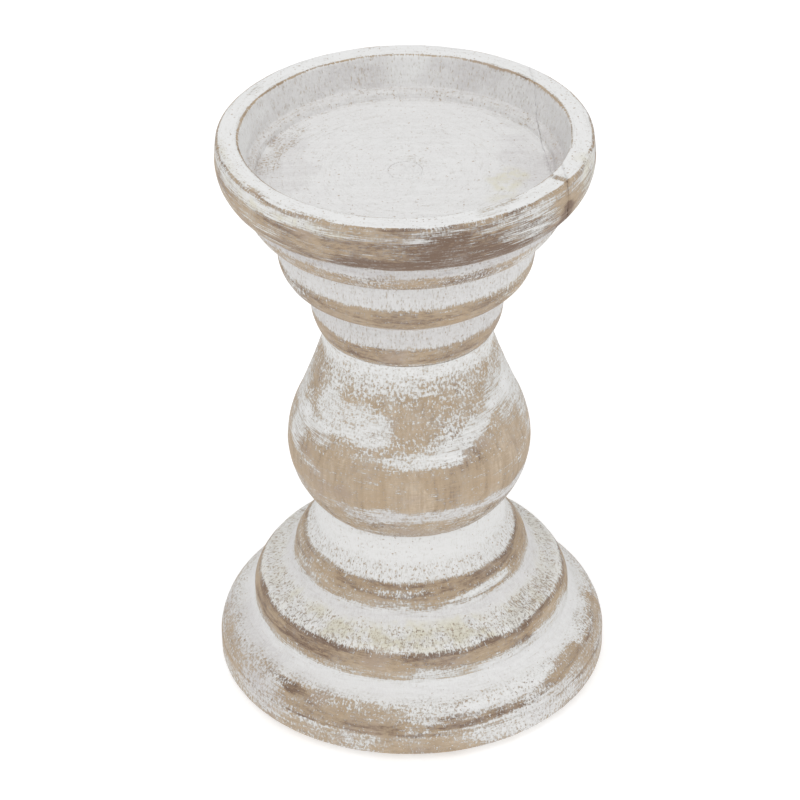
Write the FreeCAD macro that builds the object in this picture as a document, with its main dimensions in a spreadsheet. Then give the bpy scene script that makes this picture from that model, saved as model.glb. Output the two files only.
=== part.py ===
import FreeCAD, Part

import math
import os
from types import SimpleNamespace

import Sketcher

# A turned wooden candlestick for a wide pillar candle: a stepped base, a baluster stem and a shallow
# dish.  Lengths are millimetres and +Z is up.  The origin is the centre of the felt that it stands on.
#
# Each turned outline climbs in stretches.  A stretch has a rise and, where its radius changes, a
# width.  A crown is how far an arc bulges beyond its chord, away from the axis, and a hollow is how
# far it dips in.  The base and the cup both grow outwards from the stem that they are joined to.

SIZES = {
    # felt disc under the base
    "felt_thickness": 1.5,
    "felt_inset": 5.4,
    # stem, from its lower shoulder up
    "lip_diameter": 65.0,
    "belly_diameter": 81.8,
    "belly_rise": 19.8,
    "belly_crown": 1.9,
    "shoulder_diameter": 73.8,
    "shoulder_rise": 16.5,
    "shoulder_crown": 1.0,
    "taper_rise": 19.2,
    "taper_hollow": 0.2,
    "neck_diameter": 56.8,
    "neck_cove_width": 1.2,
    "neck_cove_rise": 5.0,
    "neck_cove_hollow": 0.2,
    "neck_flare_width": 0.5,
    "neck_flare_rise": 4.5,
    "neck_flare_hollow": 0.1,
    # base, from its underside up; widths run in from the foot to the collar under the stem
    "foot_round_width": 1.9,
    "foot_round_rise": 2.6,
    "foot_round_crown": 0.7,
    "foot_band_rise": 5.1,
    "foot_shoulder_width": 6.7,
    "foot_shoulder_rise": 10.0,
    "foot_shoulder_crown": 1.5,
    "foot_cove_width": 5.6,
    "foot_cove_rise": 5.1,
    "foot_cove_hollow": 1.0,
    "middle_band_rise": 4.3,
    "middle_shoulder_width": 4.2,
    "middle_shoulder_rise": 6.8,
    "middle_shoulder_crown": 0.6,
    "middle_cove_width": 10.2,
    "middle_cove_rise": 8.4,
    "middle_cove_hollow": 1.8,
    "ring_band_rise": 1.3,
    "ring_shoulder_width": 4.2,
    "ring_shoulder_rise": 6.1,
    "ring_shoulder_crown": 0.5,
    "collar_cove_width": 3.7,
    "collar_cove_rise": 9.6,
    "collar_cove_hollow": 0.8,
    "collar_rise": 6.7,
    "collar_inset": 0.8,
    # cup, from its lower edge up; widths run out from the neck to the rim
    "cup_edge_width": 0.1,
    "small_bead_width": 2.7,
    "small_bead_rise": 7.7,
    "small_bead_crown": 0.5,
    "small_bead_band_rise": 7.8,
    "large_bead_soffit_width": 4.9,
    "large_bead_soffit_rise": 3.5,
    "large_bead_width": 5.5,
    "large_bead_rise": 8.6,
    "large_bead_crown": 1.2,
    "large_bead_band_width": 0.3,
    "large_bead_band_rise": 11.7,
    "step_soffit_width": 5.8,
    "step_soffit_rise": 1.6,
    "step_width": 4.5,
    "step_rise": 7.2,
    "step_crown": 0.5,
    "step_band_rise": 2.7,
    "rim_soffit_width": 3.9,
    "rim_soffit_rise": 2.1,
    "rim_width": 4.65,
    "rim_rise": 10.3,
    "rim_crown": 1.2,
    "rim_band_inset": 0.55,
    "rim_band_rise": 6.5,
    "rim_band_crown": 0.1,
    "rim_edge_chamfer": 0.8,
    "rim_wall": 8.25,
    # dish in the top of the cup
    "mouth_edge_chamfer": 0.6,
    "dish_depth": 13.8,
    "dish_draft": 2.2,
    "dish_corner_radius": 3.0,
    # glue line of the board that widens the cup's blank
    "seam_offset": 46.2,
    "seam_bearing": 7.0,
    # round tenons on the stem and the glue room round them
    "base_tenon_diameter": 30.0,
    "base_socket_depth": 22.0,
    "cup_tenon_diameter": 26.0,
    "cup_socket_depth": 20.0,
    "tenon_chamfer": 1.0,
    "glue_gap": 0.1,
    "tenon_end_gap": 0.5,
    # wood screws: one down through the dish, one up through the base
    "screw_diameter": 5.0,
    "screw_core_diameter": 3.4,
    "screw_tip_rise": 5.0,
    "thread_pitch": 2.4,
    "thread_share": 0.6,
    "screw_head_diameter": 10.0,
    "screw_head_land": 0.5,
    "recess_depth": 2.0,
    "recess_span": 5.0,
    "recess_slot": 1.1,
    "cup_screw_length": 70.0,
    "base_screw_length": 60.0,
    "passage_gap": 0.2,
    "pilot_gap": 0.05,
    "pilot_spare": 3.0,
    "counterbore_gap": 2.5,
    "counterbore_depth": 20.0,
    # plug that hides the screw in the dish
    "plug_lap": 0.5,
    "plug_depth": 6.0,
    "plug_gap": 0.05,
}

# How far a cutting outline runs past the face that it opens.
CUT_PAST = 1.0
# The saw's outline at the seam reaches this many times the rim's radius from the axis.
SAW_REACH = 1.5


class Size:
    """A length: the number it has now, and the expression that ties it to the sheet."""

    def __init__(self, value, text):
        self.value = float(value)
        self.text = text

    def __add__(self, other):
        other = as_size(other)
        return Size(self.value + other.value, f"({self.text} + {other.text})")

    def __sub__(self, other):
        other = as_size(other)
        return Size(self.value - other.value, f"({self.text} - {other.text})")

    def __mul__(self, other):
        other = as_size(other)
        return Size(self.value * other.value, f"({self.text} * {other.text})")

    def __truediv__(self, other):
        other = as_size(other)
        return Size(self.value / other.value, f"({self.text} / {other.text})")

    def __neg__(self):
        return self * -1

    def __abs__(self):
        return -self if self.value < 0 else self


def as_size(amount):
    """A plain number as a Size."""
    return amount if isinstance(amount, Size) else Size(amount, repr(float(amount)))


def fill_sheet(doc):
    """Write every driving size to the sheet, and return the sizes by name."""
    sheet = doc.addObject("Spreadsheet::Sheet", "Sizes")
    sizes = {}
    for row, (name, number) in enumerate(SIZES.items(), start=1):
        sheet.set(f"A{row}", name)
        sheet.set(f"B{row}", str(number))
        sheet.setAlias(f"B{row}", name)
        sizes[name] = Size(number, f"Sizes.{name}")
    doc.recompute()
    return SimpleNamespace(**sizes)


def origin_plane(body, role):
    """The body's own plane or axis of that role."""
    return next(item for item in body.Origin.OriginFeatures if item.Role == role)


class Outline:
    """A closed line of straights and arcs in a sketch, whose corners are tied to sizes."""

    ORIGIN = (-1, 1)
    ACROSS_AXIS = -1
    UP_AXIS = -2

    def __init__(self, body, name, plane="XZ_Plane", lift=None):
        self.sketch = body.newObject("Sketcher::SketchObject", name)
        self.sketch.AttachmentSupport = (origin_plane(body, plane), [""])
        self.sketch.MapMode = "FlatFace"
        if lift is not None:
            self.sketch.setExpression("AttachmentOffset.Base.z", lift.text)
        self.corners = []
        self.crowns = []
        self.ties = []
        self.expressions = {}

    def corner(self, across, up, crown=None):
        """Go to this corner, straight, or along an arc with this crown."""
        self.corners.append((as_size(across), as_size(up)))
        self.crowns.append(crown)
        return self

    def close(self):
        """Draw the sides round to the first corner, tie them to the sheet, and return the sketch."""
        count = len(self.corners)
        following = [(side + 1) % count for side in range(count)]
        starts = [
            self.draw_side(self.corners[side], self.corners[last], self.crowns[last])
            for side, last in enumerate(following)
        ]
        for side in range(count):
            last = following[side]
            self.tie(None, "Coincident", side, 3 - starts[side], last, starts[last])
            self.place_along("DistanceX", self.UP_AXIS, side, starts[side], self.corners[side][0])
            self.place_along("DistanceY", self.ACROSS_AXIS, side, starts[side], self.corners[side][1])
            if self.crowns[last] is not None:
                crown = crown_point(self.corners[side], self.corners[last], self.crowns[last])
                self.place_crown(side, *crown)
        self.sketch.addConstraint(self.ties)
        for number, text in self.expressions.items():
            self.sketch.setExpression(f"Constraints[{number}]", text)
        return self.sketch

    def draw_side(self, start, end, crown):
        """Add one straight or arc between two corners, and return the vertex number of its start."""
        first = FreeCAD.Vector(start[0].value, start[1].value, 0)
        last = FreeCAD.Vector(end[0].value, end[1].value, 0)
        if crown is None:
            self.sketch.addGeometry(Part.LineSegment(first, last))
            return 1
        across, up = crown_point(start, end, crown)
        middle = FreeCAD.Vector(across.value, up.value, 0)
        if (middle - first).cross(last - middle).z > 0:
            self.sketch.addGeometry(Part.Arc(first, middle, last))
            return 1
        self.sketch.addGeometry(Part.Arc(last, middle, first))
        return 2

    def place_crown(self, side, across, up):
        """Hold an arc to the crown of its bulge or hollow with a point of its own."""
        helper = self.sketch.addGeometry(Part.Point(FreeCAD.Vector(across.value, up.value, 0)), True)
        self.place_along("DistanceX", self.UP_AXIS, helper, 1, across)
        self.place_along("DistanceY", self.ACROSS_AXIS, helper, 1, up)
        self.tie(None, "PointOnObject", helper, 1, side)

    def place_along(self, kind, axis, side, point, place):
        """Tie a vertex to a signed distance from the origin, or to the axis where that is nought."""
        if place.value == 0:
            self.tie(None, "PointOnObject", side, point, axis)
            return
        ends = (*self.ORIGIN, side, point) if place.value > 0 else (side, point, *self.ORIGIN)
        self.tie(abs(place), kind, *ends, abs(place.value))

    def tie(self, size, kind, *terms):
        """Keep a constraint for the sketch, and the size that drives it if it has one."""
        if size is not None:
            self.expressions[len(self.ties)] = size.text
        self.ties.append(Sketcher.Constraint(kind, *terms))


def crown_point(start, end, crown):
    """The middle of the arc over a chord: the crown's height off the chord, away from the axis."""
    width = end[0] - start[0]
    rise = end[1] - start[1]
    chord = square_root(width * width + rise * rise)
    outwards = crown * math.copysign(1.0, rise.value)
    across = (start[0] + end[0]) / 2 + rise / chord * outwards
    up = (start[1] + end[1]) / 2 - width / chord * outwards
    return across, up


def square_root(size):
    """The square root of a Size."""
    return Size(math.sqrt(size.value), f"sqrt({size.text})")


def quarter_crown(radius):
    """The crown of a quarter circle."""
    return radius * (1 - math.sqrt(0.5))


def add_body(doc, label, lift, turn=None):
    """A new body, raised to its place and turned about the axis."""
    body = doc.addObject("PartDesign::Body", label)
    body.Label = label
    body.setExpression("Placement.Base.z", lift.text)
    if turn is not None:
        body.setExpression("Placement.Rotation.Angle", turn.text)
    return body


def turn_solid(doc, body, sketch):
    """Turn a closed outline round the body's axis."""
    solid = body.newObject("PartDesign::Revolution", f"{body.Label}_turned")
    solid.Profile = sketch
    solid.ReferenceAxis = (sketch, ["V_Axis"])
    solid.Angle = 360
    doc.recompute()
    return solid


def turn_away(doc, body, sketch, name):
    """Bore a turned outline out of the body, and check that it cut."""
    before = body.Shape.Volume
    groove = body.newObject("PartDesign::Groove", f"{body.Label}_{name}")
    groove.Profile = sketch
    groove.ReferenceAxis = (sketch, ["V_Axis"])
    groove.Angle = 360
    doc.recompute()
    require_cut(groove, before, body.Shape.Volume)
    return groove


def pocket_through(doc, body, sketch, name, depth=None, upwards=False):
    """Cut a flat outline out of the body, to a depth or right through, and check that it cut."""
    before = body.Shape.Volume
    pocket = body.newObject("PartDesign::Pocket", f"{body.Label}_{name}")
    pocket.Profile = sketch
    pocket.Reversed = upwards
    if depth is None:
        pocket.Type = "ThroughAll"
    else:
        pocket.Type = "Length"
        pocket.setExpression("Length", depth.text)
    doc.recompute()
    require_cut(pocket, before, body.Shape.Volume)
    return pocket


def require_cut(feature, before, after):
    """Stop if a cut has taken nothing away."""
    if not after < before:
        raise RuntimeError(f"{feature.Name} cut nothing")


class Layout:
    """The places and radii that several pieces share, worked out once from the sizes."""

    def __init__(self, size):
        self.size = size
        self.lip_radius = size.lip_diameter / 2
        self.neck_radius = size.neck_diameter / 2
        self.stem_top_radius = self.neck_radius + size.neck_flare_width
        self.base_outline_heights()
        self.cup_outline_radii()
        self.screw_places()

    def base_outline_heights(self):
        """Heights up the base from its underside, and radii out from the collar."""
        size = self.size
        self.foot_band_low = size.foot_round_rise
        self.foot_band_high = self.foot_band_low + size.foot_band_rise
        self.foot_shoulder_high = self.foot_band_high + size.foot_shoulder_rise
        self.middle_low = self.foot_shoulder_high + size.foot_cove_rise
        self.middle_band_high = self.middle_low + size.middle_band_rise
        self.middle_shoulder_high = self.middle_band_high + size.middle_shoulder_rise
        self.ring_low = self.middle_shoulder_high + size.middle_cove_rise
        self.ring_band_high = self.ring_low + size.ring_band_rise
        self.ring_shoulder_high = self.ring_band_high + size.ring_shoulder_rise
        self.collar_low = self.ring_shoulder_high + size.collar_cove_rise
        self.base_height = self.collar_low + size.collar_rise
        self.collar_radius = self.lip_radius - size.collar_inset
        self.ring_top_radius = self.collar_radius + size.collar_cove_width
        self.ring_radius = self.ring_top_radius + size.ring_shoulder_width
        self.middle_top_radius = self.ring_radius + size.middle_cove_width
        self.middle_radius = self.middle_top_radius + size.middle_shoulder_width
        self.foot_top_radius = self.middle_radius + size.foot_cove_width
        self.foot_radius = self.foot_top_radius + size.foot_shoulder_width
        self.underside_radius = self.foot_radius - size.foot_round_width

    def cup_outline_radii(self):
        """Heights up the cup from its lower edge, and radii out from the neck."""
        size = self.size
        self.small_bead_high = size.small_bead_rise
        self.small_band_high = self.small_bead_high + size.small_bead_band_rise
        self.large_bead_low = self.small_band_high + size.large_bead_soffit_rise
        self.large_bead_high = self.large_bead_low + size.large_bead_rise
        self.large_band_high = self.large_bead_high + size.large_bead_band_rise
        self.step_low = self.large_band_high + size.step_soffit_rise
        self.step_high = self.step_low + size.step_rise
        self.step_band_high = self.step_high + size.step_band_rise
        self.rim_low = self.step_band_high + size.rim_soffit_rise
        self.rim_high = self.rim_low + size.rim_rise
        self.rim_band_high = self.rim_high + size.rim_band_rise
        self.cup_height = self.rim_band_high + size.rim_edge_chamfer
        self.cup_edge_radius = self.stem_top_radius + size.cup_edge_width
        self.small_bead_radius = self.cup_edge_radius + size.small_bead_width
        self.large_bead_low_radius = self.small_bead_radius + size.large_bead_soffit_width
        self.large_bead_radius = self.large_bead_low_radius + size.large_bead_width
        self.large_band_radius = self.large_bead_radius + size.large_bead_band_width
        self.step_low_radius = self.large_band_radius + size.step_soffit_width
        self.step_radius = self.step_low_radius + size.step_width
        self.rim_low_radius = self.step_radius + size.rim_soffit_width
        self.rim_radius = self.rim_low_radius + size.rim_width
        self.rim_band_radius = self.rim_radius - size.rim_band_inset
        self.rim_top_radius = self.rim_band_radius - size.rim_edge_chamfer
        self.mouth_radius = self.rim_radius - size.rim_wall
        self.dish_corner_outer = self.mouth_radius - size.dish_draft
        self.dish_floor = self.cup_height - size.dish_depth

    def screw_places(self):
        """Where the stem, its tenons and the two screws lie."""
        size = self.size
        self.stem_height = (size.belly_rise + size.shoulder_rise + size.taper_rise
                            + size.neck_cove_rise + size.neck_flare_rise)
        self.base_tenon_length = size.base_socket_depth - size.tenon_end_gap
        self.cup_tenon_length = size.cup_socket_depth - size.tenon_end_gap
        self.stem_top = self.base_tenon_length + self.stem_height
        self.stem_end = self.stem_top + self.cup_tenon_length
        self.head_rise = (size.screw_head_diameter - size.screw_diameter) / 2
        self.plug_hole_radius = size.screw_head_diameter / 2 + size.plug_lap
        self.plug_seat = self.dish_floor - size.plug_depth
        self.cup_web = self.plug_seat - size.cup_socket_depth
        self.base_web = self.base_height - size.counterbore_depth - size.base_socket_depth
        self.cup_pilot_depth = size.cup_screw_length - self.cup_web - size.tenon_end_gap + size.pilot_spare
        self.base_pilot_depth = size.base_screw_length - self.base_web - size.tenon_end_gap + size.pilot_spare
        self.base_level = size.felt_thickness
        self.stem_level = self.base_level + self.base_height
        self.cup_level = self.stem_level + self.stem_height


def make_felt(doc, layout):
    """Felt disc glued under the base, short of its rounded edge."""
    size = layout.size
    body = add_body(doc, "base_felt", as_size(0))
    radius = layout.underside_radius - size.felt_inset
    outline = Outline(body, "base_felt_outline")
    outline.corner(0, 0).corner(radius, 0)
    outline.corner(radius, size.felt_thickness).corner(0, size.felt_thickness)
    turn_solid(doc, body, outline.close())
    return body


def make_base(doc, layout):
    """Base: a foot, a middle tier and a ring under a plain collar, bored for the stem and its screw."""
    size = layout.size
    body = add_body(doc, "base", layout.base_level)
    outline = Outline(body, "base_outline")
    outline.corner(0, 0).corner(layout.underside_radius, 0)
    outline.corner(layout.foot_radius, layout.foot_band_low, size.foot_round_crown)
    outline.corner(layout.foot_radius, layout.foot_band_high)
    outline.corner(layout.foot_top_radius, layout.foot_shoulder_high, size.foot_shoulder_crown)
    outline.corner(layout.middle_radius, layout.middle_low, -size.foot_cove_hollow)
    outline.corner(layout.middle_radius, layout.middle_band_high)
    outline.corner(layout.middle_top_radius, layout.middle_shoulder_high, size.middle_shoulder_crown)
    outline.corner(layout.ring_radius, layout.ring_low, -size.middle_cove_hollow)
    outline.corner(layout.ring_radius, layout.ring_band_high)
    outline.corner(layout.ring_top_radius, layout.ring_shoulder_high, size.ring_shoulder_crown)
    outline.corner(layout.collar_radius, layout.collar_low, -size.collar_cove_hollow)
    outline.corner(layout.collar_radius, layout.base_height)
    outline.corner(0, layout.base_height)
    turn_solid(doc, body, outline.close())

    socket_radius = size.base_tenon_diameter / 2
    socket_end = layout.base_height - size.base_socket_depth
    counterbore_radius = size.screw_head_diameter / 2 + size.counterbore_gap
    land_high = size.counterbore_depth + size.screw_head_land
    passage_radius = size.screw_diameter / 2 + size.passage_gap
    bore = Outline(body, "base_bore_outline")
    bore.corner(0, -CUT_PAST).corner(counterbore_radius, -CUT_PAST)
    bore.corner(counterbore_radius, land_high)
    bore.corner(size.screw_head_diameter / 2, land_high)
    bore.corner(passage_radius, land_high + layout.head_rise - size.passage_gap)
    bore.corner(passage_radius, socket_end).corner(socket_radius, socket_end)
    bore.corner(socket_radius, layout.base_height + CUT_PAST)
    bore.corner(0, layout.base_height + CUT_PAST)
    turn_away(doc, body, bore.close(), "bore")
    return body


def make_stem(doc, layout):
    """Baluster stem with a round tenon at each end and a pilot hole up each tenon."""
    size = layout.size
    body = add_body(doc, "stem", layout.stem_level - layout.base_tenon_length)
    low_tenon = size.base_tenon_diameter / 2 - size.glue_gap
    high_tenon = size.cup_tenon_diameter / 2 - size.glue_gap
    belly_high = layout.base_tenon_length + size.belly_rise
    shoulder_high = belly_high + size.shoulder_rise
    taper_high = shoulder_high + size.taper_rise
    neck_high = taper_high + size.neck_cove_rise
    outline = Outline(body, "stem_outline")
    outline.corner(0, 0).corner(low_tenon - size.tenon_chamfer, 0)
    outline.corner(low_tenon, size.tenon_chamfer).corner(low_tenon, layout.base_tenon_length)
    outline.corner(layout.lip_radius, layout.base_tenon_length)
    outline.corner(size.belly_diameter / 2, belly_high, size.belly_crown)
    outline.corner(size.shoulder_diameter / 2, shoulder_high, size.shoulder_crown)
    outline.corner(layout.neck_radius + size.neck_cove_width, taper_high, -size.taper_hollow)
    outline.corner(layout.neck_radius, neck_high, -size.neck_cove_hollow)
    outline.corner(layout.stem_top_radius, layout.stem_top, -size.neck_flare_hollow)
    outline.corner(high_tenon, layout.stem_top)
    outline.corner(high_tenon, layout.stem_end - size.tenon_chamfer)
    outline.corner(high_tenon - size.tenon_chamfer, layout.stem_end).corner(0, layout.stem_end)
    turn_solid(doc, body, outline.close())

    pilot_radius = size.screw_diameter / 2 + size.pilot_gap
    low_pilot = Outline(body, "stem_low_pilot_outline")
    low_pilot.corner(0, -CUT_PAST).corner(pilot_radius, -CUT_PAST)
    low_pilot.corner(pilot_radius, layout.base_pilot_depth).corner(0, layout.base_pilot_depth)
    turn_away(doc, body, low_pilot.close(), "low_pilot")
    high_pilot = Outline(body, "stem_high_pilot_outline")
    pilot_floor = layout.stem_end - layout.cup_pilot_depth
    high_pilot.corner(0, pilot_floor).corner(pilot_radius, pilot_floor)
    high_pilot.corner(pilot_radius, layout.stem_end + CUT_PAST).corner(0, layout.stem_end + CUT_PAST)
    turn_away(doc, body, high_pilot.close(), "high_pilot")
    return body


def make_cup_board(doc, layout, label, keeps_middle):
    """One of the two glued boards that the cup is turned from, on its side of the seam.

    The seam is cut across the body's -X, clear of the line where the turned faces close on +X, and
    the body is turned until it faces its bearing.
    """
    size = layout.size
    body = add_body(doc, label, layout.cup_level, size.seam_bearing + 180)
    turn_solid(doc, body, cup_outline(body, layout))
    if keeps_middle:
        turn_away(doc, body, cup_bore_outline(body, layout), "bore")
    reach = layout.rim_radius * SAW_REACH
    cut_from, cut_to = (-reach, -size.seam_offset) if keeps_middle else (-size.seam_offset, reach)
    saw = Outline(body, f"{label}_seam_outline", "XY_Plane")
    saw.corner(cut_from, -reach).corner(cut_to, -reach)
    saw.corner(cut_to, reach).corner(cut_from, reach)
    pocket_through(doc, body, saw.close(), "seam", upwards=True)
    return body


def cup_outline(body, layout):
    """The cup's turned outline: two beads, a step and the rim outside, the dish inside."""
    size = layout.size
    corner_radius = size.dish_corner_radius
    wall_low = layout.dish_floor + corner_radius
    outline = Outline(body, f"{body.Label}_outline")
    outline.corner(0, 0).corner(layout.cup_edge_radius, 0)
    outline.corner(layout.small_bead_radius, layout.small_bead_high, size.small_bead_crown)
    outline.corner(layout.small_bead_radius, layout.small_band_high)
    outline.corner(layout.large_bead_low_radius, layout.large_bead_low)
    outline.corner(layout.large_bead_radius, layout.large_bead_high, size.large_bead_crown)
    outline.corner(layout.large_band_radius, layout.large_band_high)
    outline.corner(layout.step_low_radius, layout.step_low)
    outline.corner(layout.step_radius, layout.step_high, size.step_crown)
    outline.corner(layout.step_radius, layout.step_band_high)
    outline.corner(layout.rim_low_radius, layout.rim_low)
    outline.corner(layout.rim_radius, layout.rim_high, size.rim_crown)
    outline.corner(layout.rim_band_radius, layout.rim_band_high, size.rim_band_crown)
    outline.corner(layout.rim_top_radius, layout.cup_height)
    outline.corner(layout.mouth_radius + size.mouth_edge_chamfer, layout.cup_height)
    outline.corner(layout.mouth_radius, layout.cup_height - size.mouth_edge_chamfer)
    outline.corner(layout.dish_corner_outer, wall_low)
    outline.corner(layout.dish_corner_outer - corner_radius, layout.dish_floor, quarter_crown(corner_radius))
    outline.corner(0, layout.dish_floor)
    return outline.close()


def cup_bore_outline(body, layout):
    """What is bored up the middle of the cup: the tenon's socket, the screw's passage and the plug's hole."""
    size = layout.size
    socket_radius = size.cup_tenon_diameter / 2
    passage_radius = size.screw_diameter / 2 + size.passage_gap
    land_low = layout.plug_seat - size.screw_head_land
    bore = Outline(body, f"{body.Label}_bore_outline")
    bore.corner(0, -CUT_PAST).corner(socket_radius, -CUT_PAST)
    bore.corner(socket_radius, size.cup_socket_depth).corner(passage_radius, size.cup_socket_depth)
    bore.corner(passage_radius, land_low - layout.head_rise + size.passage_gap)
    bore.corner(size.screw_head_diameter / 2, land_low).corner(layout.plug_hole_radius, land_low)
    bore.corner(layout.plug_hole_radius, layout.dish_floor + CUT_PAST)
    bore.corner(0, layout.dish_floor + CUT_PAST)
    return bore.close()


def make_plug(doc, layout):
    """Plug over the dish's screw, flush with the dish's floor."""
    size = layout.size
    body = add_body(doc, "cup_screw_plug", layout.cup_level + layout.plug_seat)
    radius = layout.plug_hole_radius - size.plug_gap
    outline = Outline(body, "cup_screw_plug_outline")
    outline.corner(0, 0).corner(radius, 0)
    outline.corner(radius, size.plug_depth).corner(0, size.plug_depth)
    turn_solid(doc, body, outline.close())
    return body


def make_screw(doc, layout, label, length, tip_level, head_down):
    """Countersunk wood screw, tip at its own zero, with a ringed thread and a cross recess."""
    size = layout.size
    body = add_body(doc, label, tip_level)
    if head_down:
        body.Placement.Rotation = FreeCAD.Rotation(FreeCAD.Vector(1, 0, 0), 180)
    radius = size.screw_diameter / 2
    head_radius = size.screw_head_diameter / 2
    land_low = length - size.screw_head_land
    outline = Outline(body, f"{label}_outline")
    outline.corner(0, 0).corner(radius, size.screw_tip_rise)
    outline.corner(radius, land_low - layout.head_rise).corner(head_radius, land_low)
    outline.corner(head_radius, length).corner(0, length)
    turn_solid(doc, body, outline.close())

    thread = Outline(body, f"{label}_thread_outline")
    thread_low = size.screw_tip_rise
    flank = size.thread_pitch / 2
    clear_radius = radius + flank
    core_radius = size.screw_core_diameter / 2
    thread.corner(clear_radius, thread_low).corner(clear_radius, thread_low + size.thread_pitch)
    thread.corner(core_radius, thread_low + flank)
    groove = turn_away(doc, body, thread.close(), "thread")
    rings = body.newObject("PartDesign::LinearPattern", f"{label}_thread_rings")
    rings.Originals = [groove]
    rings.Direction = (origin_plane(body, "Z_Axis"), [""])
    rings.Mode = "Spacing"
    rings.setExpression("Offset", size.thread_pitch.text)
    rings.setExpression("Occurrences", f"floor({(length * size.thread_share / size.thread_pitch).text})")
    body.Tip = rings
    before = body.Shape.Volume
    doc.recompute()
    require_cut(rings, before, body.Shape.Volume)

    reach = size.recess_span / 2
    slot = size.recess_slot / 2
    recess = Outline(body, f"{label}_recess_outline", "XY_Plane", lift=length)
    recess.corner(reach, -slot).corner(reach, slot).corner(slot, slot).corner(slot, reach)
    recess.corner(-slot, reach).corner(-slot, slot).corner(-reach, slot).corner(-reach, -slot)
    recess.corner(-slot, -slot).corner(-slot, -reach).corner(slot, -reach).corner(slot, -slot)
    pocket_through(doc, body, recess.close(), "recess", depth=size.recess_depth)
    return body


def make_pieces(doc):
    """Build every piece of the candlestick and return the bodies."""
    size = fill_sheet(doc)
    layout = Layout(size)
    cup_screw_tip = layout.cup_level + layout.plug_seat - size.cup_screw_length
    base_screw_tip = layout.base_level + size.counterbore_depth + size.base_screw_length
    return [
        make_felt(doc, layout),
        make_base(doc, layout),
        make_stem(doc, layout),
        make_cup_board(doc, layout, "cup_main_board", True),
        make_cup_board(doc, layout, "cup_side_board", False),
        make_plug(doc, layout),
        make_screw(doc, layout, "cup_screw", size.cup_screw_length, cup_screw_tip, False),
        make_screw(doc, layout, "base_screw", size.base_screw_length, base_screw_tip, True),
    ]


def check_pieces(doc, pieces):
    """Stop if any object of the document failed, or a piece isn't one sound solid."""
    for item in doc.Objects:
        if "Invalid" in item.State or "Error" in item.State:
            raise RuntimeError(f"{item.Name} did not compute: {item.State}")
    for piece in pieces:
        shape = piece.Shape
        if shape.isNull() or not shape.isValid() or len(shape.Solids) != 1:
            raise RuntimeError(f"{piece.Label} is not one valid solid")


def main():
    """Build the document, check it and write one STEP file for each piece."""
    doc = FreeCAD.newDocument("candlestick")
    pieces = make_pieces(doc)
    doc.recompute()
    check_pieces(doc, pieces)
    os.makedirs("parts", exist_ok=True)
    for piece in pieces:
        piece.Shape.exportStep(f"parts/{piece.Label}.step")
        box = piece.Shape.BoundBox
        print(f"{piece.Label}: {piece.Shape.Volume:.0f} mm3, z {box.ZMin:.2f} to {box.ZMax:.2f}")


main()
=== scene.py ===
"""A turned wooden candlestick for a pillar candle, whitewashed and rubbed back to the wood.

The turned pieces are outlines carried round the upright axis.  Outlines are written in
millimetres above each piece's own zero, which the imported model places.  A bearing is an angle
round the axis, in degrees, from the front (-Y) towards the right (+X).
"""

import logging
import math
from dataclasses import dataclass
from enum import Enum
from typing import Callable, Union

import bmesh
import bpy
import numpy as np
from mathutils import Euler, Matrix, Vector


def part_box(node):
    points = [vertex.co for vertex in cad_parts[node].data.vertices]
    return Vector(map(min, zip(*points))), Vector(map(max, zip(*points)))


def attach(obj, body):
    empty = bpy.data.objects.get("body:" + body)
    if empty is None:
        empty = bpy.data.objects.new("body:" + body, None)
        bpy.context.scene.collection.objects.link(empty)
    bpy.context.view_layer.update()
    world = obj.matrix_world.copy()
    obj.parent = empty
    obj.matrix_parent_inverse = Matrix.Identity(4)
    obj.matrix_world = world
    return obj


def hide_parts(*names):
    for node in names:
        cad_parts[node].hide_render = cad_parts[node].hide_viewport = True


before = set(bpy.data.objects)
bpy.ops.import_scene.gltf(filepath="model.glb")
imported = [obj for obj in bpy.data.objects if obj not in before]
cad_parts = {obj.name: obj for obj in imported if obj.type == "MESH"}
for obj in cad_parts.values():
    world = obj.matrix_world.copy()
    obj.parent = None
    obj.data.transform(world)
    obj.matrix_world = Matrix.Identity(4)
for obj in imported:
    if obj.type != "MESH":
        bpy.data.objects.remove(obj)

MM = 0.001
SHARP_DEGREES = 55.0
AIM_HEIGHT = 0.1008
log = logging.getLogger("candlestick")

Array = np.ndarray
Mesh = bpy.types.Mesh
Material = bpy.types.Material
Pair = tuple[float, float]
Colour = tuple[float, float, float]
Amount = Union["Wire", float]


class Slot(Enum):
    """Names of the record's material slots for the new pieces."""

    WOOD = "whitewashed_wood"
    FELT = "base_felt"


class Grain(Enum):
    """The way that a piece's wood runs: up the axis, or from front to back in glued boards."""

    UPRIGHT = "upright"
    BOARDS = "boards"


# ---- numbers over a surface


def smooth_step(low: float, high: float, value: Array) -> Array:
    """Rise smoothly from 0 at low to 1 at high: t*t*(3 - 2t) of the share t of the way.

    Args:
        low: where the rise starts.
        high: where it ends.
        value: the values to look up.

    Returns:
        A share from 0 to 1 for each value.
    """
    share = np.clip((value - low) / (high - low), 0.0, 1.0)
    return share * share * (3.0 - 2.0 * share)


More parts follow.
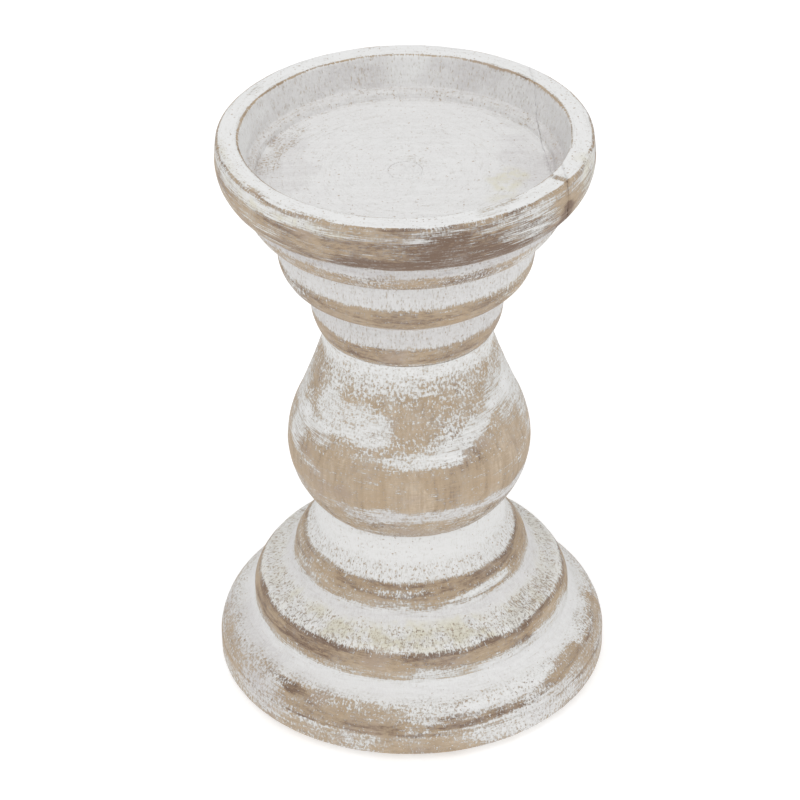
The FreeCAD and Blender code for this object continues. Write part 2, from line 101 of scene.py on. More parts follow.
@dataclass(frozen=True)
class Waves:
    """A smooth random field over space, about -1 to 1: the mean of seeded plane waves.

    Each wave is the sine of (point . wave vector + phase).  The vectors point every way, and
    their lengths lie round 2 pi over the wavelength.  LENGTHS bounds how far round, and STRENGTH
    brings the sum to about -1 to 1.
    """

    LENGTHS = (0.6, 1.6)
    STRENGTH = 0.7

    seed: int
    wavelength: float
    count: int = 26

    def at(self, points: Array) -> Array:
        """The field at each point.

        Args:
            points: an array whose last axis is x, y, z in millimetres.

        Returns:
            One number for each point.
        """
        draw = np.random.default_rng(self.seed)
        ways = draw.normal(size=(self.count, 3))
        ways /= np.linalg.norm(ways, axis=1, keepdims=True)
        ways *= (2.0 * math.pi / self.wavelength) * draw.uniform(*self.LENGTHS, (self.count, 1))
        phases = draw.uniform(0.0, 2.0 * math.pi, self.count)
        total = np.sin(points @ ways.T + phases).sum(axis=-1)
        return total * math.sqrt(2.0 / self.count) * self.STRENGTH


class Outline:
    """A turned outline in the (radius, height) plane, run anticlockwise round its section.

    Its points are FINE millimetres apart, and a bend gets one row of the mesh for each BEND.
    """

    FINE = 0.15
    BEND = math.radians(11.0)

    def __init__(self, radius: float, height: float) -> None:
        """Start the outline at a corner."""
        self.runs: list[Array] = [np.array([[radius, height]])]
        self.shown: list[Array] = [np.array([False])]
        self.stations: list[Array] = [np.array([height])]

    def to(self, radius: float, height: float, crown: float = 0.0, shown: bool = True,
           past: float = 0.0) -> "Outline":
        """Run on to a corner, straight or bulging to the right of the way by crown.

        The points are start + t*(end - start) + 4*crown*t*(1 - t)*normal, for t from 0 to 1.

        Args:
            radius: the corner's distance from the axis.
            height: its height above the piece's zero.
            crown: how far the middle of the run stands off its chord, less than 0 for a hollow.
            shown: False where the wood is hidden, so that it takes few rows.
            past: the station at the start, where it no longer is the height.

        Returns:
            This outline.
        """
        start, end = self.runs[-1][-1], np.array([radius, height])
        chord = end - start
        length = float(np.hypot(*chord))
        count = max(2, int(length / self.FINE)) if shown else 1
        share = np.linspace(0.0, 1.0, count + 1)[1:, None]
        normal = np.array([chord[1], -chord[0]]) / max(length, 1e-9)
        points = start + share * chord + 4.0 * crown * share * (1.0 - share) * normal
        self.runs.append(points)
        self.shown.append(np.full(count, shown))
        self.stations.append(past + share[:, 0] * length if past else points[:, 1])
        return self

    def hide(self, *corners: Pair) -> "Outline":
        """Run on straight through corners where the wood is hidden."""
        for radius, height in corners:
            self.to(radius, height, shown=False)
        return self

    def soften(self, points: Array, shown: Array, reach: float) -> Array:
        """Round the shown corners: each point moves to the bell-weighted mean of its neighbours.

        Args:
            points: radius and height of each point.
            shown: which points may move.
            reach: the bell's half width, in millimetres.

        Returns:
            The rounded points.
        """
        half = int(3 * reach / self.FINE)
        bell = np.exp(-0.5 * (np.arange(-half, half + 1) * self.FINE / reach) ** 2)
        bell /= bell.sum()
        first, last = np.flatnonzero(shown)[[0, -1]]
        part = points[first:last + 1]
        padded = np.vstack([np.repeat(part[:1], half, 0), part, np.repeat(part[-1:], half, 0)])
        mean = np.stack([np.convolve(padded[:, axis], bell, "valid") for axis in (0, 1)], 1)
        hold = np.minimum(np.arange(len(part)), np.arange(len(part))[::-1])[:, None]
        pull = np.clip(hold / half, 0.0, 1.0)
        softened = points.copy()
        softened[first:last + 1] = part + (mean - part) * pull
        return softened

    def rows(self, spacing: float, reach: float) -> tuple[Array, Array, Array]:
        """Pick the rows of the mesh: evenly along the shown outline, and closer where it turns.

        Args:
            spacing: the distance between rows on a straight run, in millimetres.
            reach: how far corners are rounded.

        Returns:
            Points (radius, height), the run along the outline and the station, one a row.
        """
        points, shown = np.vstack(self.runs), np.concatenate(self.shown)
        station = np.concatenate(self.stations)
        points = self.soften(points, shown, reach)
        steps = np.diff(points, axis=0)
        lengths = np.hypot(steps[:, 0], steps[:, 1])
        run = np.concatenate([[0.0], np.cumsum(lengths)])
        heading = np.unwrap(np.arctan2(steps[:, 1], steps[:, 0]))
        turn = np.abs(np.concatenate([[0.0], np.diff(heading)]))
        seen = shown[1:]
        weight = np.where(seen, lengths / spacing + turn / self.BEND, 0.0)
        place = np.concatenate([[0.0], np.cumsum(weight)])
        first, last = np.flatnonzero(shown)[[0, -1]]
        count = int(round(place[last] - place[first])) + 1
        wanted = np.linspace(place[first], place[last], count)
        inner = np.stack([np.interp(wanted, place[first:last + 1], line[first:last + 1])
                          for line in (points[:, 0], points[:, 1], run, station)], 1)
        whole = np.column_stack([points, run, station])
        table = np.vstack([whole[:first], inner, whole[last + 1:]])
        return table[:, :2], table[:, 2], table[:, 3]


@dataclass
class Skin:
    """A turned surface as a grid: one row a ring, one column a bearing."""

    points: Array
    bearing: Array
    radius: Array
    station: Array
    run: Array


@dataclass(frozen=True)
class Zone:
    """How the paint was left on one ring of the wood, between two stations in millimetres.

    paint is the share that is still covered, tone how dark the bare wood is, soft how far the
    ring's ends fade, cream how yellow the paint is, the grey how far it turns lilac grey, which
    in the coves, under the overhangs and in the dish is painted shade, comb whether its edges
    break up across the turning (1) or along it (0), pits how many specks show through, and fleck
    how much it is stippled.
    """

    low: float
    high: float
    paint: float
    tone: float
    soft: float
    cream: float = 0.0
    grey_and_shade: float = 0.0
    comb: float = 0.0
    pits: float = 0.4
    fleck: float = 0.35


@dataclass(frozen=True)
class Mark:
    """An oval patch that a brush left thick or a sanding block rubbed away; some are painted shade,
    and one painted light.

    lean is how many millimetres it climbs for each degree towards the right.
    """

    bearing: float
    station: float
    half_angle: float
    half_height: float
    paint: float = 0.0
    tone: float = 0.0
    cream: float = 0.0
    grey_and_shade: float = 0.0
    fleck: float = 0.0
    lean: float = 0.0


COATS = ("paint", "tone", "cream", "grey_and_shade", "comb", "pits", "fleck")
MARKED = ("paint", "tone", "cream", "grey_and_shade", "fleck")


@dataclass(frozen=True)
class Coat:
    """The whole paint job of one piece, painted shade included: rings of it, and the patches on
    them.

    ROUGH and PATCHY are wavelengths in millimetres: the first pushes edges about, the second
    varies the paint and the tone.  A mark fades over EDGE, in shares of its half width.
    """

    ROUGH, PATCHY = 15.0, 34.0
    EDGE = (0.55, 1.15)
    EDGE_ROUGHNESS = 0.22
    PATCHY_PAINT, PATCHY_TONE = 0.16, 0.10

    zones: tuple[Zone, ...]
    marks: tuple[Mark, ...] = ()
    seed: int = 1
    sway: float = 0.55

    def over(self, skin: Skin) -> dict[str, Array]:
        """Lay the coat over a turned surface.

        Each value is the mean of the zones' values, weighted by how far a point lies inside
        each zone.  A mark adds its amount times a bell of the point's distance from its middle,
        measured in half widths and pushed about by waves.

        Args:
            skin: the surface.

        Returns:
            One array for each name in COATS, and the run along the outline.
        """
        rough = Waves(self.seed, self.ROUGH).at(skin.points)
        patchy = Waves(self.seed + 1, self.PATCHY).at(skin.points)
        station = skin.station + rough * self.sway
        total = np.full(skin.station.shape, 1e-6)
        values = {name: np.zeros(skin.station.shape) for name in COATS}
        for zone in self.zones:
            above, past = (smooth_step(end - zone.soft, end + zone.soft, station)
                           for end in (zone.low, zone.high))
            inside = above * (1.0 - past)
            total += inside
            for name in COATS:
                values[name] += inside * getattr(zone, name)
        values = {name: value / total for name, value in values.items()}
        for mark in self.marks:
            turn = (skin.bearing - mark.bearing + 180.0) % 360.0 - 180.0
            climb = skin.station - mark.station - mark.lean * turn
            away = np.hypot(turn / mark.half_angle, climb / mark.half_height)
            bell = 1.0 - smooth_step(*self.EDGE, away + self.EDGE_ROUGHNESS * rough)
            for name in MARKED:
                values[name] += bell * getattr(mark, name)
        bare = 1.0 - np.abs(2.0 * np.clip(values["paint"], 0.0, 1.0) - 1.0)
        values["paint"] += bare * self.PATCHY_PAINT * patchy
        values["tone"] += self.PATCHY_TONE * patchy
        for name in ("fleck", "grey_and_shade"):
            values[name] = np.clip(values[name], 0.0, 1.0)
        values["run"] = skin.run
        return values


# ---- coats


# White in the coves, greyed there with painted shade, bare on the risers, broken on the foot.
BASE_COAT = Coat((
    Zone(0, 4.2, 0.4, 0.46, 1.4, grey_and_shade=0.22, comb=0.2, pits=0.9, fleck=0.9),
    Zone(4.2, 9.9, 0.52, 0.48, 1, grey_and_shade=0.14, comb=0.1, pits=0.9, fleck=0.7),
    Zone(9.9, 10.6, 0.1, 0.8, 0.35),
    Zone(10.6, 16.8, 0.63, 0.56, 0.9, grey_and_shade=0.16, comb=0.25, pits=0.9, fleck=0.6),
    Zone(16.8, 19.8, 0.76, 0.58, 0.9, comb=0.6, pits=0.9, fleck=0.8),
    # Painted shade: the grey in this lower cove darkens the hollow.
    Zone(19.4, 24, 1.3, 0.3, 1.4, grey_and_shade=0.16, pits=0), Zone(24, 27.6, 0.36, 0.46, 1.2),
    Zone(27.6, 32, 0, 0.58, 1.2), Zone(32, 33.6, 0, 0.86, 0.5, comb=0.8),
    Zone(33.6, 38.6, 0.94, 0.62, 2, cream=0.34, comb=1, pits=1, fleck=0.5),
    # Painted shade: the grey in this upper cove darkens the hollow.
    Zone(38.6, 42.6, 1.2, 0.4, 1.2, grey_and_shade=0.38, pits=0.1), Zone(42.6, 46, 0.28, 0.5, 1.6),
    Zone(46, 49.8, 0.02, 0.66, 1.2, comb=0.3, pits=0.6, fleck=0.6),
    Zone(49.8, 51, 0.04, 0.8, 0.5, comb=0.7, pits=0.6),
    Zone(51, 57, 1, 0.52, 1.1, comb=0.9, pits=1), Zone(57, 67, 1.2, 0.35, 2, comb=0.5, pits=0.3),
    Zone(67, 70, 0.55, 0.6, 0.4),
), (
    Mark(-20, 14.8, 30, 4, -0.44, tone=0.02, lean=-0.03),
    Mark(18, 13.6, 22, 2.4, -0.34, tone=0.22, lean=0.02), Mark(54, 16.4, 14, 2.4, -0.5, lean=0.1),
    Mark(76, 15, 18, 5, -0.4, tone=-0.05, lean=0.06),
    Mark(-20, 11.6, 30, 2, -0.22, tone=0.08, lean=-0.02),
    Mark(-44, 17.6, 10, 1.6, -0.4, tone=0.28, lean=-0.06), Mark(12, 16.6, 14, 1, 0.3, lean=0.05),
    Mark(20, 11.8, 12, 1, 0.26, lean=0.03), Mark(34, 17.5, 20, 1.8, 0.35),
    Mark(16, 14.8, 20, 0.9, 0.4, lean=0.06), Mark(24, 12.6, 24, 1.2, -0.3, tone=0.2, lean=0.03),
    Mark(36, 8, 24, 6, 0.42), Mark(-78, 12, 16, 7, -0.3, tone=-0.1),
    Mark(-52, 10, 14, 5, 0.18, grey_and_shade=0.3), Mark(-66, 17, 34, 6, grey_and_shade=0.34),
    Mark(60, 10, 30, 5, grey_and_shade=0.2), Mark(4, 5, 16, 4.2, -0.4, tone=-0.02),
    Mark(-30, 6, 12, 2.4, -0.22), Mark(0, 36.5, 50, 3.6, cream=0.75),
    Mark(56, 26.5, 34, 3.6, 0.5, grey_and_shade=0.15, lean=0.02), Mark(16, 28.2, 20, 1.8, 0.3, tone=-0.05),
    Mark(52, 35.4, 26, 3, -0.2, tone=0.14, lean=0.03), Mark(66, 29.5, 22, 2.6, 0.3, tone=-0.1),
    Mark(-40, 34.2, 30, 1.6, -0.15), Mark(-58, 29.5, 36, 4, -0.15, tone=0.06),
    Mark(14, 26, 30, 1.6, 0.25), Mark(40, 45.6, 22, 1.5, 0.7, lean=0.04),
    Mark(-4, 48.2, 22, 1.2, 0.26, fleck=0.5), Mark(-70, 47.5, 34, 3.4, 0.22, tone=-0.15),
    Mark(112, 9, 34, 3, 0.26, grey_and_shade=0.2), Mark(140, 13, 40, 3.2, -0.42, tone=0.1),
    Mark(-150, 15.5, 30, 3, -0.4, tone=0.05), Mark(175, 27, 30, 2.6, 0.4),
), seed=31, sway=0.2)

# Bare round the belly, stippled white above it, and white at the neck.
STEM_COAT = Coat((
    Zone(60, 69.6, 0.3, 0.62, 0.8), Zone(69.6, 77.4, 0.24, 0.58, 1.2),
    Zone(77.4, 82.6, 0.58, 0.45, 1.2, grey_and_shade=0.45), Zone(82.6, 97, 0, 0.42, 1.2, pits=0.1),
    Zone(97, 104, 0.12, 0.46, 1.8, comb=0.1, fleck=0.7),
    Zone(104, 118, 0.38, 0.52, 2.6, comb=0.15, pits=0.6, fleck=0.85),
    Zone(118, 126.6, 0.54, 0.52, 3, comb=0.2, pits=0.6, fleck=1),
    Zone(126.6, 131.6, 0.98, 0.4, 2, comb=0.3, pits=0.5, fleck=0.7),
    Zone(131.6, 136, 0.8, 0.55, 0.6),
), (
    Mark(-38, 111, 34, 7.4, 0.5, fleck=-0.3, lean=-0.05),
    Mark(-60, 104.5, 22, 3.6, 0.42, fleck=-0.6, lean=-0.16),
    Mark(0, 101, 27, 3, 0.62, fleck=-0.1, lean=-0.01),
    Mark(36, 107, 30, 3.4, 0.46, fleck=-0.7, lean=0.2),
    Mark(64, 115, 17, 9, 0.24, fleck=-0.7, lean=0.2), Mark(2, 110.5, 14, 5, -0.16),
    Mark(12, 118, 26, 4, -0.12), Mark(-78, 119, 12, 10, -0.26, fleck=-0.5),
    Mark(-70, 103, 11, 10, 0.4, fleck=-0.6), Mark(66, 107, 11, 9, 0.22, fleck=-0.6, lean=0.3),
    Mark(52, 121, 16, 3, -0.2, lean=0.3), Mark(88, 106, 20, 16, 0.44, fleck=-0.5),
    Mark(-88, 106, 18, 15, 0.32, fleck=-0.5), Mark(74, 92, 20, 2.2, 0.34, lean=0.14),
    Mark(-60, 92, 18, 2, 0.3, lean=-0.12), Mark(-52, 80, 18, 3, -0.22),
    Mark(12, 79.5, 34, 2.6, 0.25), Mark(-30, 124, 34, 4, 0.22),
    Mark(150, 108, 30, 7, 0.35, lean=0.1), Mark(-140, 114, 24, 6, -0.25),
), seed=47, sway=0.9)

# As white as the dish's floor.
PLUG_COAT = Coat((Zone(0, 400, 1.25, 0.35, 0.7, grey_and_shade=0.16, pits=0.3),), seed=71, sway=0)


def cup_coat(top: float) -> Coat:
    """White over each bead and inside the dish, rubbed bare below them and on the rim, and greyed
    with painted shade under the overhangs and in the dish.

    Args:
        top: the station where the rim starts.

    Returns:
        The coat.
    """
    floor = top + 24
    return Coat((
        Zone(130, 134, 0.35, 0.62, 0.6), Zone(134, 140.8, 0.06, 0.62, 0.9, comb=0.3),
        # Painted shade: the grey on each bead's face, under each step and in the notch under the
        # rim darkens them where the part above overhangs.
        Zone(140.8, 148.6, 1, 0.5, 2.3, grey_and_shade=0.4, comb=1, pits=0.3),
        Zone(148.6, 152.4, 0.62, 0.64, 0.7, grey_and_shade=0.6), Zone(152.4, 162, 0, 0.66, 0.8, comb=0.3),
        Zone(162, 171.6, 1.05, 0.5, 2.5, grey_and_shade=0.3, comb=1, pits=0.25),
        Zone(171.6, 173.4, 0.72, 0.62, 0.5, grey_and_shade=0.6),
        Zone(173.4, 180.2, 0.32, 0.66, 1.2, grey_and_shade=0.35, comb=0.5),
        Zone(180.2, 184, 0.92, 0.6, 1.3, grey_and_shade=0.62, comb=0.5, pits=0.4),
        Zone(184, 186.2, 0.5, 0.74, 0.6, grey_and_shade=0.7), Zone(186.2, 191, 0.08, 0.78, 1, fleck=0),
        Zone(191, 199, 0.12, 0.62, 1.4, fleck=0),
        Zone(199, 202.1, 0.6, 0.62, 1, grey_and_shade=0.1, fleck=0.1),
        Zone(202.1, top + 0.15, 0.26, 0.66, 0.35, comb=0.6, pits=0.8),
        Zone(top + 0.15, top + 6.2, 1.3, 0.45, 0.35, pits=0.55),
        Zone(top + 6.1, top + 6.9, 0.26, 0.5, 0.25, comb=0.9, pits=0.9),
        # Painted shade: the grey on the dish's inner wall and where it meets the floor.
        Zone(top + 6.9, top + 17.5, 1.1, 0.4, 0.9, grey_and_shade=0.34, comb=1, pits=0),
        Zone(top + 17.5, top + 22.5, 0.96, 0.4, 0.9, grey_and_shade=0.34, comb=0.3, pits=0.6),
        Zone(top + 22.5, top + 70, 1.25, 0.35, 2.5, grey_and_shade=0.16, pits=0.22),
    ), (
        Mark(14, 188.8, 36, 4.6, -0.04, tone=0.34), Mark(12, 195, 38, 5, -0.04, tone=0.24),
        Mark(8, 200.6, 42, 2.4, -0.3, tone=0.14), Mark(-5, 198.4, 15, 1.6, 0.26, grey_and_shade=0.6),
        Mark(40, 196, 12, 6, 0.34, lean=0.1), Mark(48, 189, 10, 5, 0.2),
        Mark(56.5, 194, 4.2, 9, -0.7, tone=0.45), Mark(58, 185.5, 5, 4, -0.4, tone=0.45),
        Mark(57.5, top + 3, 1.8, 4, -0.75, tone=0.3), Mark(72, 194, 12, 9, 0.3, cream=0.75),
        Mark(90, 190, 14, 9, 0.28, cream=0.45), Mark(-62, 191, 34, 5, 0.1, tone=-0.18, cream=0.3),
        Mark(-52, 199.5, 34, 2.2, 0.3, cream=0.35), Mark(-36, top + 1, 22, 1.2, -0.55, fleck=0.6),
        Mark(-72, top + 1.2, 20, 1.4, -0.4, fleck=0.6, cream=0.4), Mark(28, 176, 26, 3, tone=0.08),
        Mark(52, 176.5, 18, 3, 0.4, cream=0.3), Mark(-70, 176.5, 26, 3, 0.3),
        Mark(58, 158, 16, 4, 0.3, cream=0.45), Mark(-62, 158, 14, 4, 0.34),
        Mark(34, top + 5, 10, 1.6, -0.5), Mark(26, top + 2, 8, 2, -0.4),
        Mark(-120, top + 3, 5, 2, -0.35, tone=0.2),
        Mark(-86, top + 20, 30, 4, -0.2, fleck=0.4, grey_and_shade=0.1),
        # Painted light: this mark lightens the left inner wall, taking off its painted shade.
        Mark(-84, top + 12, 40, 6.5, grey_and_shade=-0.4, paint=0.2),
        Mark(-165, top + 12, 22, 6, grey_and_shade=0.2, paint=-0.08),
        Mark(180, top + 11, 10, 7, grey_and_shade=-0.35, paint=0.1),
        Mark(158, top + 12, 14, 6, grey_and_shade=0.22, paint=-0.06),
        Mark(160, floor + 38, 40, 2, -0.3, fleck=0.5),
        Mark(-95, top + 6.5, 70, 0.9, -0.45, tone=0.1),
        Mark(128, top + 6.5, 30, 1.2, -0.45, tone=0.1), Mark(-28, 199.8, 26, 1.8, 0.2, cream=0.5),
        Mark(75, floor + 11.6, 20, 6.5, cream=0.95),
        Mark(-110, floor + 1.6, 24, 4, -0.42, fleck=0.6, tone=0.1),
        # Painted shade: the two marks on this line grey the dish's floor at the left and right,
        # below the rim.
        Mark(92, floor + 5, 30, 11, grey_and_shade=0.3), Mark(-92, floor + 6, 34, 12, grey_and_shade=0.24),
        Mark(88, top + 19, 30, 6, -0.1, grey_and_shade=0.2), Mark(-150, 191, 40, 5, -0.14, tone=0.25),
        Mark(150, 193, 26, 6, 0.3), Mark(137.8, 194, 3, 9, -0.45, tone=0.4),
    ), seed=63, sway=0.2)


# ---- meshes


def grid_faces(rows: int, columns: int, wrap_rows: bool) -> Array:
    """Four-sided faces between the rings of a grid, row by row, closed round each ring.

    Args:
        rows: the number of rings.
        columns: the number of points on each.
        wrap_rows: True if the last ring joins the first.

    Returns:
        The four corner numbers of each face, outwards for an outline run anticlockwise.
    """
    row = np.arange(rows if wrap_rows else rows - 1)[:, None]
    column = np.arange(columns)[None, :]
    above, beside = (row + 1) % rows, (column + 1) % columns
    corners = (row * columns + column, row * columns + beside,
               above * columns + beside, above * columns + column)
    return np.stack(np.broadcast_arrays(*corners), -1).reshape(-1, 4)


def fill_mesh(mesh: Mesh, points: Array, quads: Array,
              fans: Array) -> None:
    """Put points and faces into an empty mesh.

    Args:
        mesh: the mesh.
        points: the vertices, in metres.
        quads: corner numbers of the four-sided faces.
        fans: corner numbers of the three-sided faces at the poles.
    """
    corners = np.concatenate([quads.ravel(), fans.ravel()])
    starts = np.concatenate([np.arange(len(quads)) * 4, len(quads) * 4 + np.arange(len(fans)) * 3])
    mesh.vertices.add(len(points))
    mesh.vertices.foreach_set("co", points.astype(np.float32).ravel())
    mesh.loops.add(len(corners))
    mesh.loops.foreach_set("vertex_index", corners.astype(np.int32))
    mesh.polygons.add(len(starts))
    mesh.polygons.foreach_set("loop_start", starts.astype(np.int32))
    mesh.update(calc_edges=True)
    mesh.validate()


def add_values(mesh: Mesh, values: dict[str, Array]) -> None:
    """Store one number a vertex under each name."""
    for name, value in values.items():
        layer = mesh.attributes.new(name, "FLOAT", "POINT")
        layer.data.foreach_set("value", value.astype(np.float32).ravel())


def vertex_array(mesh: Mesh, name: str) -> Array:
    """The vertices' places ("co") or normals ("normal") as rows of x, y, z."""
    values = np.zeros(len(mesh.vertices) * 3, np.float32)
    mesh.vertices.foreach_get(name, values)
    return values.reshape(-1, 3).astype(float)


def place(name: str, data: bpy.types.ID) -> bpy.types.Object:
    """Make an object of a mesh, a lamp or a camera and put it in the scene."""
    made = bpy.data.objects.new(name, data)
    bpy.context.scene.collection.objects.link(made)
    return made


def show(name: str, mesh: Mesh, material: Material, slot: Slot,
         *nodes: str) -> bpy.types.Object:
    """Put a finished mesh in the scene in place of the model's plain solids.

    Args:
        name: the piece's name.
        mesh: its mesh, in place.
        material: its finish.
        slot: the record's slot that the finish belongs to; not used.
        nodes: the plain solids that it stands for.

    Returns:
        The new object.
    """
    mesh.materials.clear()
    mesh.materials.append(material)
    mesh.shade_smooth()
    mesh.set_sharp_from_angle(angle=math.radians(SHARP_DEGREES))
    piece = place(name, mesh)
    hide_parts(*nodes)
    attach(piece, "root")
    log.info("%s: %d vertices, %d faces", name, len(mesh.vertices), len(mesh.polygons))
    return piece


@dataclass
class Turning:
    """A turned piece: an outline carried round the axis from its own zero.

    CLOSED is True if the section's last corner joins its first, and False if both are on the
    axis.  The wood is uneven by waves of the BROAD and NARROW lengths, in millimetres, up to
    DEEPEST times the unevenness.  Rows over HIDDEN_GAP spacings apart are hidden ones.
    """

    CLOSED = True
    BROAD, NARROW = 42.0, 9.0
    DEEPEST = 1.4
    HIDDEN_GAP = 3.0

    name: str
    zero: float
    around: int = 480
    spacing: float = 0.85
    corner: float = 0.32
    seed: int = 11
    unevenness: float = 0.11

    def outline(self) -> Outline:
        """The piece's section."""
        raise NotImplementedError

    def skin(self) -> Skin:
        """Carry the outline round: x = r sin(bearing), y = -r cos(bearing), z = zero + height.

        The shown wood is only ever drawn in, so nothing stands outside the turned size.

        Returns:
            The surface's grid.
        """
        section, run, station = self.outline().rows(self.spacing, self.corner)
        if not self.CLOSED:
            section, run, station = section[1:-1], run[1:-1], station[1:-1]
        bearing = np.linspace(-math.pi, math.pi, self.around, endpoint=False)[None, :]
        radius = np.repeat(section[:, :1], self.around, 1)
        height = np.repeat(section[:, 1:] + self.zero, self.around, 1)
        points = np.stack([radius * np.sin(bearing), -radius * np.cos(bearing), height], -1)
        slope = np.gradient(section, axis=0)
        slope /= np.maximum(np.linalg.norm(slope, axis=1, keepdims=True), 1e-9)
        broad = Waves(self.seed, self.BROAD).at(points)
        narrow = Waves(self.seed + 5, self.NARROW).at(points)
        uneven = np.clip(0.5 + 0.35 * broad + 0.25 * narrow, 0.0, self.DEEPEST)
        depth = uneven * self.unevenness * ~self.hidden_rows(run)[:, None]
        radius = radius - depth * slope[:, 1:]
        height = height + depth * slope[:, :1]
        points = np.stack([radius * np.sin(bearing), -radius * np.cos(bearing), height], -1)
        wide = np.ones_like(radius)
        station = (station + self.zero)[:, None] * wide
        return Skin(points, np.degrees(bearing) * wide, radius, station, run[:, None] * wide)

    def hidden_rows(self, run: Array) -> Array:
        """Hidden rows stay true, because another piece meets them.

        Args:
            run: the run along the outline, one a row.

        Returns:
            True for each row that keeps its place.
        """
        gaps = np.abs(np.gradient(run)) > self.HIDDEN_GAP * self.spacing
        return gaps | np.roll(gaps, 1) | np.roll(gaps, -1)

    def mesh(self, coat: Coat | None = None) -> Mesh:
        """Build the piece's mesh, with its coat as vertex values.

        Args:
            coat: the paint on it, or none.

        Returns:
            A closed mesh in metres.
        """
        skin = self.skin()
        rows, columns = skin.radius.shape
        quads = grid_faces(rows, columns, self.CLOSED)
        points = skin.points.reshape(-1, 3)
        values = {} if coat is None else coat.over(skin)
        fans = np.zeros((0, 3), int)
        if not self.CLOSED:
            runs = self.outline().runs
            poles = np.array([[0.0, 0.0, self.zero + end[1]] for end in (runs[0][0], runs[-1][-1])])
            column = np.arange(columns)
            beside = (column + 1) % columns
            first, last = rows * columns, rows * columns + 1
            top = (rows - 1) * columns
            lowest = np.column_stack([np.full(columns, first), beside, column])
            highest = np.column_stack([np.full(columns, last), top + column, top + beside])
            fans = np.vstack([lowest, highest])
            points = np.vstack([points, poles])
            values = {name: np.concatenate([value.ravel(), value[0, :1], value[-1, :1]])
                      for name, value in values.items()}
        mesh = bpy.data.meshes.new(self.name)
        fill_mesh(mesh, points * MM, quads, fans)
        add_values(mesh, values)
        return mesh


# ---- shader nodes


def sum_node(operation: str, turned: bool = False) -> Callable[..., "Wire"]:
    """A method of Wire that puts a Math node over the wire and what it is given.

    Args:
        operation: the node's sum.
        turned: True if the wire comes second.

    Returns:
        The method.
    """
    def method(self: "Wire", *others: Amount) -> "Wire":
        """The sum's output."""
        values = (*others, self) if turned else (self, *others)
        return self.bench.node("Math", {"operation": operation}, dict(enumerate(values)))
    return method


class Wire:
    """One output socket of a node.  Sums written with it add Math nodes to the tree."""

    def __init__(self, bench: "Bench", socket: bpy.types.NodeSocket) -> None:
        """Hold a socket and the bench that its node stands on."""
        self.bench = bench
        self.socket = socket

    __add__ = __radd__ = sum_node("ADD")
    __mul__ = __rmul__ = sum_node("MULTIPLY")
    __sub__ = sum_node("SUBTRACT")
    __rsub__ = sum_node("SUBTRACT", turned=True)
    __truediv__ = sum_node("DIVIDE")
    root = sum_node("SQRT")
    least = sum_node("MINIMUM")
    most = sum_node("MAXIMUM")
    part = sum_node("FRACT")

    def clipped(self) -> "Wire":
        """Held between 0 and 1."""
        return self.least(1.0).most(0.0)

    def rise(self, low: float, high: float) -> "Wire":
        """A smooth rise from 0 at low to 1 at high."""
        return self.bench.node("MapRange", {"interpolation_type": "SMOOTHSTEP"},
                               {"Value": self, "From Min": low, "From Max": high})


class Bench:
    """A material's node tree, and one way to put a node on it."""

    def __init__(self, name: str) -> None:
        """Start a material with a plain surface shader."""
        self.material = bpy.data.materials.new(name)
        self.material.use_nodes = True
        self.tree = self.material.node_tree
        self.surface = self.tree.nodes["Principled BSDF"]
        self.spot: Wire = self.node("TexCoord", {}, {}, "Object")
        axes = self.tree.nodes.new("ShaderNodeSeparateXYZ")
        self.tree.links.new(self.spot.socket, axes.inputs[0])
        self.x, self.y, self.z = (Wire(self, axes.outputs[name]) for name in "XYZ")

    def node(self, kind: str, settings: dict[str, object], sockets: dict[object, object],
             output: str | int = 0) -> Wire:
        """Add a node.

        Args:
            kind: the shader node's type.
            settings: its properties, set first.
            sockets: values or wires by socket name or number.
            output: the output wanted.

        Returns:
            That output.
        """
        made = self.tree.nodes.new("ShaderNode" + kind)
        for name, value in settings.items():
            setattr(made, name, value)
        for name, value in sockets.items():
            self.plug(made.inputs[name], value)
        return Wire(self, made.outputs[output])

    def plug(self, socket: bpy.types.NodeSocket, value: object) -> None:
        """Give a socket a wire, a number, a vector or a colour."""
        if isinstance(value, Wire):
            self.tree.links.new(value.socket, socket)
        elif socket.type == "RGBA":
            socket.default_value = (*value, 1.0)
        else:
            socket.default_value = value

    def finish(self, **sockets: object) -> Material:
        """Set the surface shader's sockets, with _ for a space in a name.

        Returns:
            The finished material.
        """
        for name, value in sockets.items():
            self.plug(self.surface.inputs[name.replace("_", " ")], value)
        return self.material

    def stored(self, name: str) -> Wire:
        """A number stored on the mesh."""
        return self.node("Attribute", {"attribute_name": name}, {}, "Fac")

    def spot_of(self, x: Amount, y: Amount, z: Amount) -> Wire:
        """A place made of three numbers."""
        return self.node("CombineXYZ", {}, {"X": x, "Y": y, "Z": z})

    def noise(self, place: Wire, detail: float = 2.0, roughness: float = 0.5, scale: float = 1.0,
              distortion: float = 0.0) -> Wire:
        """Cloudy noise at a place, 0 to 1, mostly near a half."""
        return self.node("TexNoise", {}, {
            "Vector": place, "Scale": scale, "Detail": detail, "Roughness": roughness,
            "Distortion": distortion}, "Fac")

    def bump(self, relief: Wire, strength: float, height: float) -> Wire:
        """A normal tipped by a relief that is height metres high."""
        return self.node("Bump", {}, {"Strength": strength, "Distance": height,
                                                "Height": relief}, "Normal")

    def mix(self, share: Amount, first: object, second: object) -> Wire:
        """A colour between two, first where share is 0 and second where it is 1."""
        return self.node("Mix", {"data_type": "RGBA"},
                         {"Factor": share, 6: first, 7: second}, 2)


